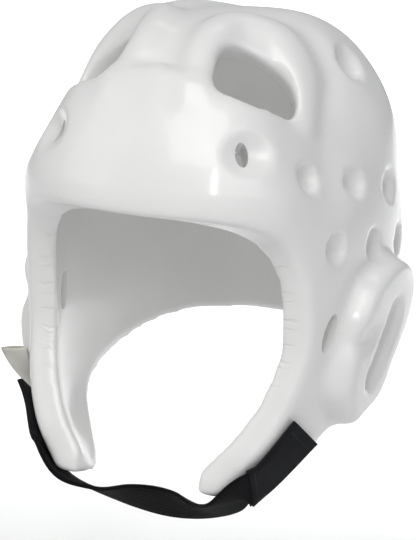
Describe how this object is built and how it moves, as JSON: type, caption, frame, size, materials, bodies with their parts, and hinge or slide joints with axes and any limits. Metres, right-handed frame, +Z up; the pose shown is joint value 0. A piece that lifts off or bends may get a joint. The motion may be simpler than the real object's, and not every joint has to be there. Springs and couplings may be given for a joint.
{
  "type": "taekwondo head guard",
  "caption": "Dipped foam head guard for sparring, with a padded brow, crown vents, ear cups and an elastic chin strap with hook tabs.",
  "frame": {"origin": "top of the hollow inside the crown, where the guard sits on the wearer's head", "axes": "+X to the wearer's left, -Y the way the wearer faces, +Z up"},
  "size_m": [0.2332, 0.2359, 0.287],
  "materials": {
    "dipped_vinyl": "glossy white dipped vinyl skin over foam",
    "strap_elastic": "dark grey woven elastic",
    "strap_fabric": "black hook tab fabric",
    "label_cloth": "off-white woven label cloth, blank"
  },
  "bodies": {
    "root": {"shell": "dipped_vinyl", "forehead_pad": "dipped_vinyl", "ear_cup_left": "dipped_vinyl", "ear_cup_right": "dipped_vinyl", "chin_elastic": "strap_elastic", "strap_tab_left": "strap_fabric", "strap_tab_right": "strap_fabric", "side_label": "label_cloth"}
  },
  "joints": []
}
